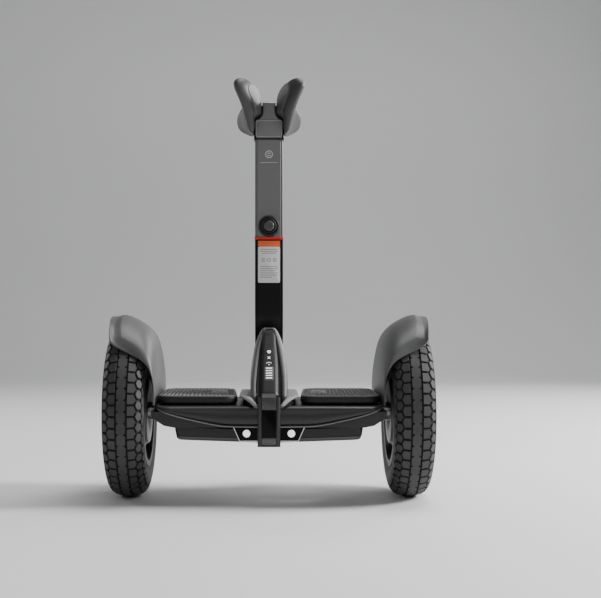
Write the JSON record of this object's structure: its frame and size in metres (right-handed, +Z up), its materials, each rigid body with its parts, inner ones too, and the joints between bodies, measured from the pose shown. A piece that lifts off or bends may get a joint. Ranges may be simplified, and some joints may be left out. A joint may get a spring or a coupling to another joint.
{
  "type": "self balancing personal transporter",
  "caption": "Ride-on self-balancing transporter: wheels on a low body with foot pads, a display hump and a telescoping knee-steering bar that leans.",
  "frame": {"origin": "on the ground midway between the tyres, below the axles", "axes": "+X to the rider's right along the axles, +Y forwards in the driving direction, +Z up; the rider stands on the -Y side of the bar"},
  "size_m": [0.528, 0.28, 0.6939],
  "materials": {
    "tyre_rubber": "worn",
    "rim_silver": "satin",
    "magnet_steel": "satin",
    "hub_black": "satin",
    "hub_grey": "satin",
    "bearing_steel": "polished",
    "valve_rubber": "matte",
    "stator_copper": "satin",
    "fender_grey": "satin",
    "pad_rubber": "matte",
    "knee_rubber": "matte",
    "knee_shell": "matte",
    "tray_metal": "satin",
    "cover_black": "satin",
    "battery_black": "satin",
    "cell_blue": "gloss",
    "spine_grey": "satin",
    "brass_contact": "polished",
    "gloss_black": "gloss",
    "trim_chrome": "polished",
    "lamp_white": "gloss",
    "skirt_grey": "satin",
    "hump_grey": "satin",
    "gauge_white": "gloss",
    "board_green": "satin",
    "switch_black": "matte",
    "shaft_steel": "satin",
    "post_black": "satin",
    "tube_aluminium": "brushed",
    "ring_red": "gloss",
    "label_white": "matte",
    "sleeve_grey": "satin",
    "knob_black": "matte"
  },
  "bodies": {
    "chassis": {"axle_right": "hub_black", "axle_left": "hub_black", "shaft_bearings": "bearing_steel", "fender_screws": "bearing_steel", "stator_right": "stator_copper", "stator_left": "stator_copper", "fender_right": "fender_grey", "fender_left": "fender_grey", "frame_tray": "tray_metal", "top_cover": "cover_black", "battery_case": "battery_black", "battery_cells": "cell_blue", "spine": "spine_grey", "charge_box": "spine_grey", "charge_socket": "brass_contact", "tail_panel": "gloss_black", "front_panel": "gloss_black", "console": "gloss_black", "tail_trim": "trim_chrome", "tail_lamps": "lamp_white", "front_lamps": "lamp_white", "skirt": "skirt_grey", "hump": "hump_grey", "gauge": "gauge_white", "display_board": "board_green", "control_board": "board_green", "gyro_board": "board_green", "foot_sensors": "switch_black"},
    "right_wheel": {"tyre_right": "tyre_rubber", "rim_right": "rim_silver", "magnets_right": "magnet_steel", "inner_cover_right": "hub_black", "hub_cap_right": "hub_grey", "wheel_bearings_right": "bearing_steel", "valve_right": "valve_rubber"},
    "left_wheel": {"tyre_left": "tyre_rubber", "rim_left": "rim_silver", "magnets_left": "magnet_steel", "inner_cover_left": "hub_black", "hub_cap_left": "hub_grey", "wheel_bearings_left": "bearing_steel", "valve_left": "valve_rubber"},
    "right_pad": {"foot_pad_right": "pad_rubber"},
    "left_pad": {"foot_pad_left": "pad_rubber"},
    "button": {"power_button": "lamp_white"},
    "cap": {"charge_cap": "valve_rubber"},
    "steering_bar": {"steering_shaft": "shaft_steel", "lower_post": "post_black", "inner_tube": "tube_aluminium", "red_ring": "ring_red", "bar_label": "label_white"},
    "upper_bar": {"sleeve": "sleeve_grey", "head_block": "sleeve_grey", "neck": "sleeve_grey", "knee_back_right": "knee_shell", "knee_back_left": "knee_shell", "knee_pad_right": "knee_rubber", "knee_pad_left": "knee_rubber"},
    "knob": {"clamp_knob": "knob_black"}
  },
  "joints": [
    {"name": "right_wheel_spin", "type": "hinge", "parent": "chassis", "child": "right_wheel", "pos_m": [0.23, 0, 0.14], "axis": [1, 0, 0], "continuous": true},
    {"name": "left_wheel_spin", "type": "hinge", "parent": "chassis", "child": "left_wheel", "pos_m": [-0.23, 0, 0.14], "axis": [1, 0, 0], "continuous": true},
    {"name": "bar_lean", "type": "hinge", "parent": "chassis", "child": "steering_bar", "pos_m": [0, 0.11, 0.14], "axis": [0, 1, 0], "range_deg": [-12, 12], "stiffness_Nm_per_rad": 40},
    {"name": "height_slide", "type": "slide", "parent": "steering_bar", "child": "upper_bar", "axis": [0, 0, 1], "range_m": [0, 0.1]},
    {"name": "knob_turn", "type": "hinge", "parent": "upper_bar", "child": "knob", "pos_m": [0, 0.03, 0.45], "axis": [0, 1, 0], "range_deg": [-180, 0]},
    {"name": "button_press", "type": "slide", "parent": "chassis", "child": "button", "axis": [0, 0.7676, -0.6409], "range_m": [0, 0.001], "stiffness_N_per_m": 500, "springref_m": -0.0005},
    {"name": "cap_hinge", "type": "hinge", "parent": "chassis", "child": "cap", "pos_m": [0, -0.1177, 0.1072], "axis": [1, 0, 0], "range_deg": [-100, 0]},
    {"name": "right_pad_press", "type": "slide", "parent": "chassis", "child": "right_pad", "axis": [0, 0, -1], "range_m": [0, 0.0015], "stiffness_N_per_m": 20000, "springref_m": -0.0006},
    {"name": "left_pad_press", "type": "slide", "parent": "chassis", "child": "left_pad", "axis": [0, 0, -1], "range_m": [0, 0.0015], "stiffness_N_per_m": 20000, "springref_m": -0.0006}
  ]
}
